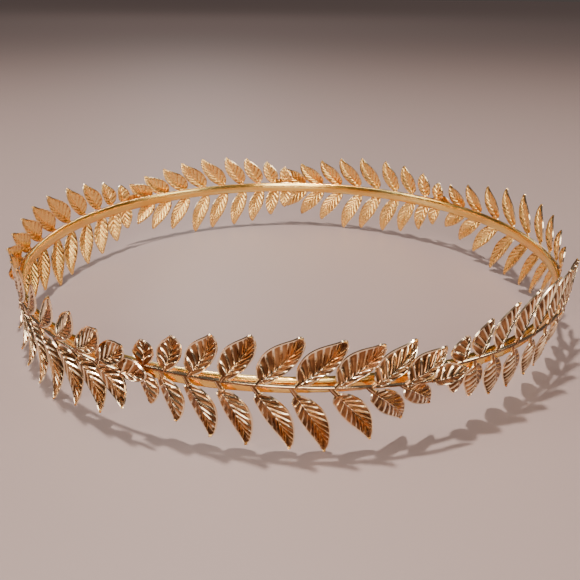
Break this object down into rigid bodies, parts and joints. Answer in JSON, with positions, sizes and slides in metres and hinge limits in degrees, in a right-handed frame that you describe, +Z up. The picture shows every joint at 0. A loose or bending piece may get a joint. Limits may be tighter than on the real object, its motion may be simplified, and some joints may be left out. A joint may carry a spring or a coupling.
{
  "type": "laurel wreath crown",
  "caption": "Closed round crown: sprays of pleated laurel leaves follow one another round the outside of a plain flat metal band.",
  "frame": {"origin": "middle of the crown's outline on the plane that its lowest leaf tips stand on", "axes": "+Z up, away from the surface that the crown stands on and towards the top of the wearer's head; -Y towards the wearer's forehead"},
  "size_m": [0.1759, 0.1771, 0.0318],
  "materials": {
    "gilt_band": "polished",
    "gilt_leaf": "polished"
  },
  "bodies": {
    "root": {"band": "gilt_band", "spray_front": "gilt_leaf", "spray_front_right": "gilt_leaf", "spray_right": "gilt_leaf", "spray_back_right": "gilt_leaf", "spray_back_left": "gilt_leaf", "spray_left": "gilt_leaf", "spray_front_left": "gilt_leaf"}
  },
  "joints": []
}
